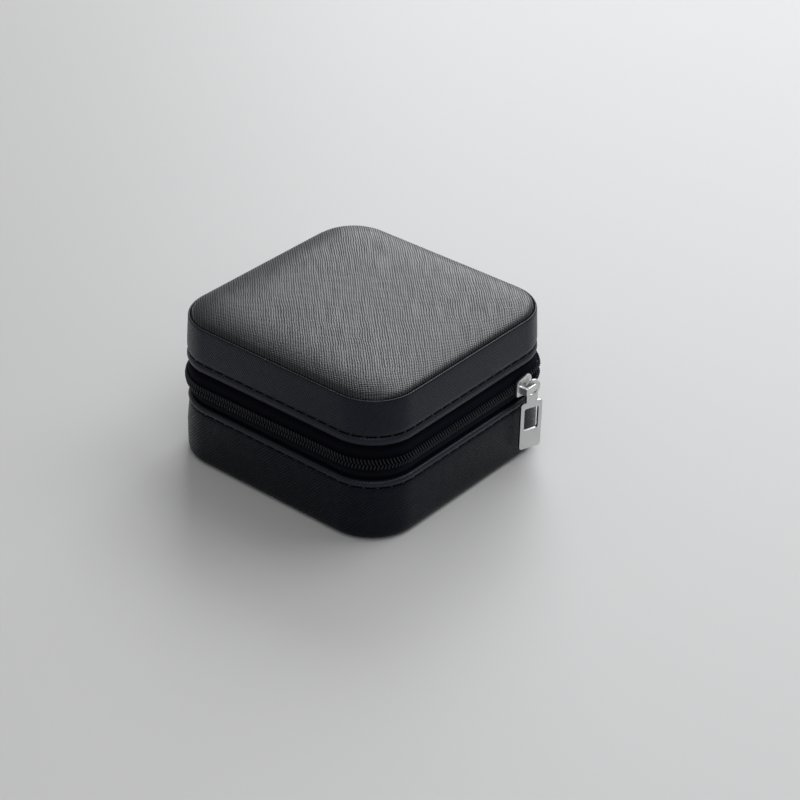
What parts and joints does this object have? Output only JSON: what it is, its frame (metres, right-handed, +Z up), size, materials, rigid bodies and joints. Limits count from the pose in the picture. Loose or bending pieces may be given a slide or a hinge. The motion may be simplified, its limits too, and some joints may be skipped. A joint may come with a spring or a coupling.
{
  "type": "travel jewellery box",
  "caption": "Square zip-around travel jewellery box: leather-wrapped tray and padded hinged lid, coil zip with metal slider and pull, ring rolls, dividers and mirror inside.",
  "frame": {"origin": "middle of the flat underside that the box stands on", "axes": "+Z up, -Y is the front, +X is the side that the slider runs on, and the hinge strip is at +Y"},
  "size_m": [0.1074, 0.1024, 0.0608],
  "materials": {
    "panel_leather": "cross-hatched matte",
    "band_leather": "cross-hatched matte",
    "frame_plastic": "moulded",
    "fibreboard": "pressed board",
    "foam": "open-cell foam",
    "velvet": "short velvet pile",
    "mirror_glass": "polished",
    "zip_tape": "woven",
    "zip_teeth": "satin nylon",
    "zip_metal": "satin nickel"
  },
  "bodies": {
    "tray": {"base_band": "band_leather", "base_frame": "frame_plastic", "floor_board": "fibreboard", "bottom_panel": "panel_leather", "base_lining": "velvet", "ring_partition": "velvet", "lower_zip_tape": "zip_tape", "lower_zip_teeth": "zip_teeth", "hinge_strip": "band_leather", "ring_roll_1": "velvet", "ring_roll_2": "velvet", "ring_roll_3": "velvet", "ring_roll_4": "velvet", "ring_roll_5": "velvet", "ring_roll_6": "velvet", "ring_roll_7": "velvet"},
    "lid": {"lid_band": "band_leather", "lid_frame": "frame_plastic", "lid_board": "fibreboard", "lid_pad": "foam", "lid_top_cover": "panel_leather", "lid_lining": "velvet", "mirror": "mirror_glass", "upper_zip_tape": "zip_tape", "upper_zip_teeth": "zip_teeth"},
    "slider": {"slider_body": "zip_metal"},
    "pull": {"pull_tab": "zip_metal"},
    "front_divider": {"divider_1": "velvet"},
    "rear_divider": {"divider_2": "velvet"}
  },
  "joints": [
    {"name": "lid_hinge", "type": "hinge", "parent": "tray", "child": "lid", "pos_m": [0, 0.05115, 0.0327], "axis": [-1, 0, 0], "range_deg": [0, 105], "deforming": ["hinge_strip"]},
    {"name": "slider_slide", "type": "slide", "parent": "tray", "child": "slider", "axis": [0, -1, 0], "range_m": [0, 0.054]},
    {"name": "pull_swing", "type": "hinge", "parent": "slider", "child": "pull", "pos_m": [0.054, 0.0312, 0.0327], "axis": [1, 0, 0], "range_deg": [-35, 100]},
    {"name": "front_divider_lift", "type": "slide", "parent": "tray", "child": "front_divider", "axis": [0, 0, 1], "range_m": [0, 0.0292]},
    {"name": "rear_divider_lift", "type": "slide", "parent": "tray", "child": "rear_divider", "axis": [0, 0, 1], "range_m": [0, 0.0292]}
  ]
}
